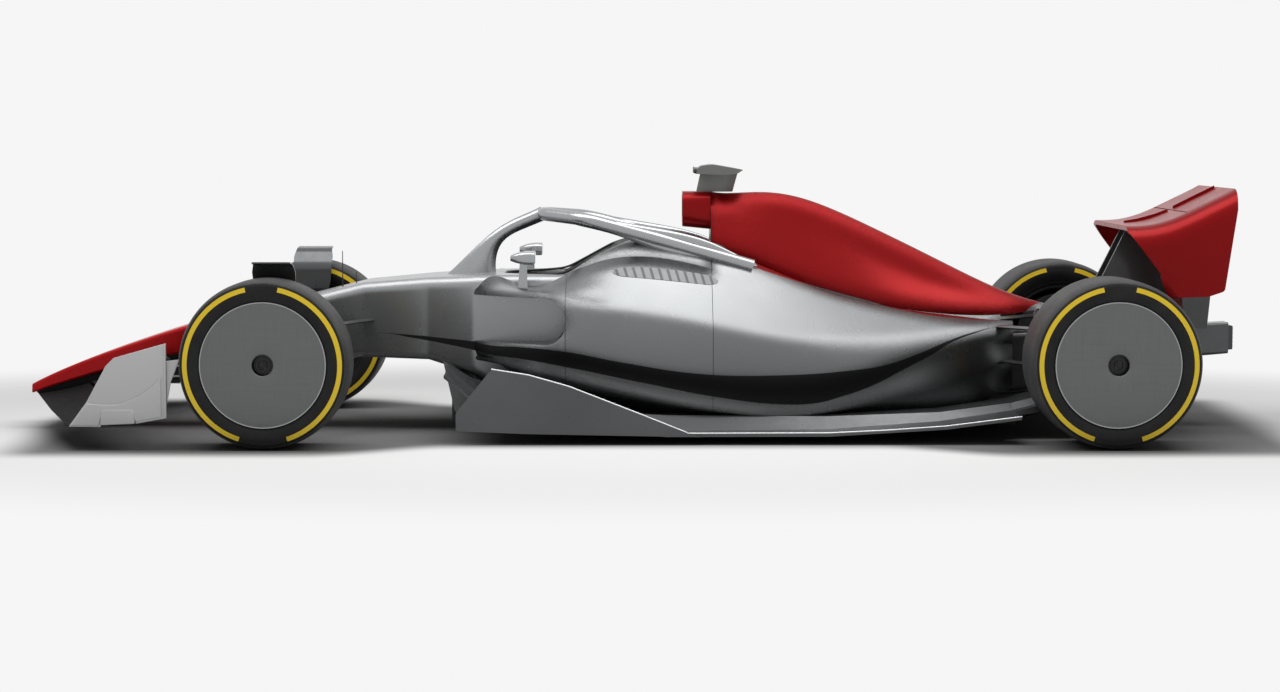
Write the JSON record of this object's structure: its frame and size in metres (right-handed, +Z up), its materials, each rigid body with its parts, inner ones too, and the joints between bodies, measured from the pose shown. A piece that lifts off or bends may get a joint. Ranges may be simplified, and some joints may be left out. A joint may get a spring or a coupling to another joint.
{
  "type": "open wheel racing car",
  "caption": "Single-seat racing car with wings, halo, ground effect floor and covered wheels that roll and steer; its rear wing flap opens.",
  "frame": {"origin": "on the ground, in the middle of the car's length and width", "axes": "+X to the rear along the car, +Y to the driver's right, +Z up"},
  "size_m": [5.444, 1.9964, 1.1915],
  "materials": {
    "body_silver": "satin metallic paint over carbon fibre",
    "body_red": "satin red paint over carbon fibre",
    "wing_white": "satin white paint over carbon fibre",
    "wing_black": "black paint over carbon fibre",
    "carbon_grey": "dark grey painted carbon fibre",
    "halo_silver": "satin metallic paint over titanium",
    "padding": "dark covered foam",
    "camera_grey": "grey paint",
    "plank_board": "resin board",
    "engine_block": "cast alloy",
    "gearbox_case": "carbon fibre",
    "lamp": "dark red lens, unlit",
    "exhaust_metal": "heat tinted alloy",
    "upright_metal": "dark anodised alloy",
    "wheel_trim": "satin grey cover",
    "rim_metal": "black magnesium",
    "tyre_rubber": "slick rubber with a yellow band",
    "steering_grey": "carbon fibre with rubber grips",
    "mirror_silver": "satin metallic paint"
  },
  "bodies": {
    "chassis": {"survival_cell": "body_silver", "cockpit_surround": "body_silver", "sidepod_right": "body_silver", "sidepod_left": "body_silver", "engine_cover": "body_red", "airbox": "body_red", "nose": "body_red", "front_wing_main": "wing_black", "front_wing_flaps": "wing_white", "front_wing_endplates": "wing_white", "halo": "halo_silver", "headrest": "padding", "seat": "gearbox_case", "dash": "carbon_grey", "camera_pod": "camera_grey", "mirrors": "mirror_silver", "floor": "carbon_grey", "floor_fences": "carbon_grey", "plank": "plank_board", "engine": "engine_block", "gearbox": "gearbox_case", "crash_structure": "carbon_grey", "rain_light": "lamp", "exhaust": "exhaust_metal", "rear_wing": "body_red", "rear_wing_pylons": "carbon_grey", "rear_wing_lower_plates": "carbon_grey", "beam_wing": "carbon_grey", "front_suspension": "carbon_grey", "rear_suspension": "carbon_grey", "rear_uprights": "upright_metal"},
    "knuckle_left": {"front_upright_left": "upright_metal", "wheel_deflector_left": "carbon_grey"},
    "knuckle_right": {"front_upright_right": "upright_metal", "wheel_deflector_right": "carbon_grey"},
    "steering_rack": {"steering_rack": "upright_metal"},
    "steering_wheel": {"steering_wheel": "steering_grey"},
    "wheel_front_left": {"tyre_front_left": "tyre_rubber", "rim_front_left": "rim_metal", "wheel_cover_front_left": "wheel_trim"},
    "wheel_front_right": {"tyre_front_right": "tyre_rubber", "rim_front_right": "rim_metal", "wheel_cover_front_right": "wheel_trim"},
    "wheel_rear_left": {"tyre_rear_left": "tyre_rubber", "rim_rear_left": "rim_metal", "wheel_cover_rear_left": "wheel_trim"},
    "wheel_rear_right": {"tyre_rear_right": "tyre_rubber", "rim_rear_right": "rim_metal", "wheel_cover_rear_right": "wheel_trim"},
    "rear_flap": {"rear_wing_flap": "body_red"}
  },
  "joints": [
    {"name": "kingpin_left", "type": "hinge", "parent": "chassis", "child": "knuckle_left", "pos_m": [-1.562, -0.69, 0.36], "axis": [0, 0, 1], "range_deg": [-18, 18]},
    {"name": "kingpin_right", "type": "hinge", "parent": "chassis", "child": "knuckle_right", "pos_m": [-1.562, 0.69, 0.36], "axis": [0, 0, 1], "range_deg": [-18, 18]},
    {"name": "rack_slide", "type": "slide", "parent": "chassis", "child": "steering_rack", "axis": [0, 1, 0], "range_m": [-0.032, 0.032]},
    {"name": "steering_column", "type": "hinge", "parent": "chassis", "child": "steering_wheel", "pos_m": [-0.487, 0, 0.6], "axis": [0.9703, 0, 0.2419], "range_deg": [-181, 181]},
    {"name": "wheel_front_left_spin", "type": "hinge", "parent": "knuckle_left", "child": "wheel_front_left", "pos_m": [-1.562, -0.8475, 0.36], "axis": [0, 1, 0], "continuous": true},
    {"name": "wheel_front_right_spin", "type": "hinge", "parent": "knuckle_right", "child": "wheel_front_right", "pos_m": [-1.562, 0.8475, 0.36], "axis": [0, 1, 0], "continuous": true},
    {"name": "wheel_rear_left_spin", "type": "hinge", "parent": "chassis", "child": "wheel_rear_left", "pos_m": [2.038, -0.7975, 0.36], "axis": [0, 1, 0], "continuous": true},
    {"name": "wheel_rear_right_spin", "type": "hinge", "parent": "chassis", "child": "wheel_rear_right", "pos_m": [2.038, 0.7975, 0.36], "axis": [0, 1, 0], "continuous": true},
    {"name": "rear_flap_hinge", "type": "hinge", "parent": "chassis", "child": "rear_flap", "pos_m": [2.628, 0, 1.073], "axis": [0, 1, 0], "range_deg": [0, 22]}
  ],
  "couplings": [
    {"joint": "kingpin_right", "follows": "kingpin_left", "ratio": 1},
    {"joint": "rack_slide", "follows": "kingpin_left", "m_per_rad": -0.1},
    {"joint": "steering_column", "follows": "kingpin_left", "ratio": 10}
  ]
}
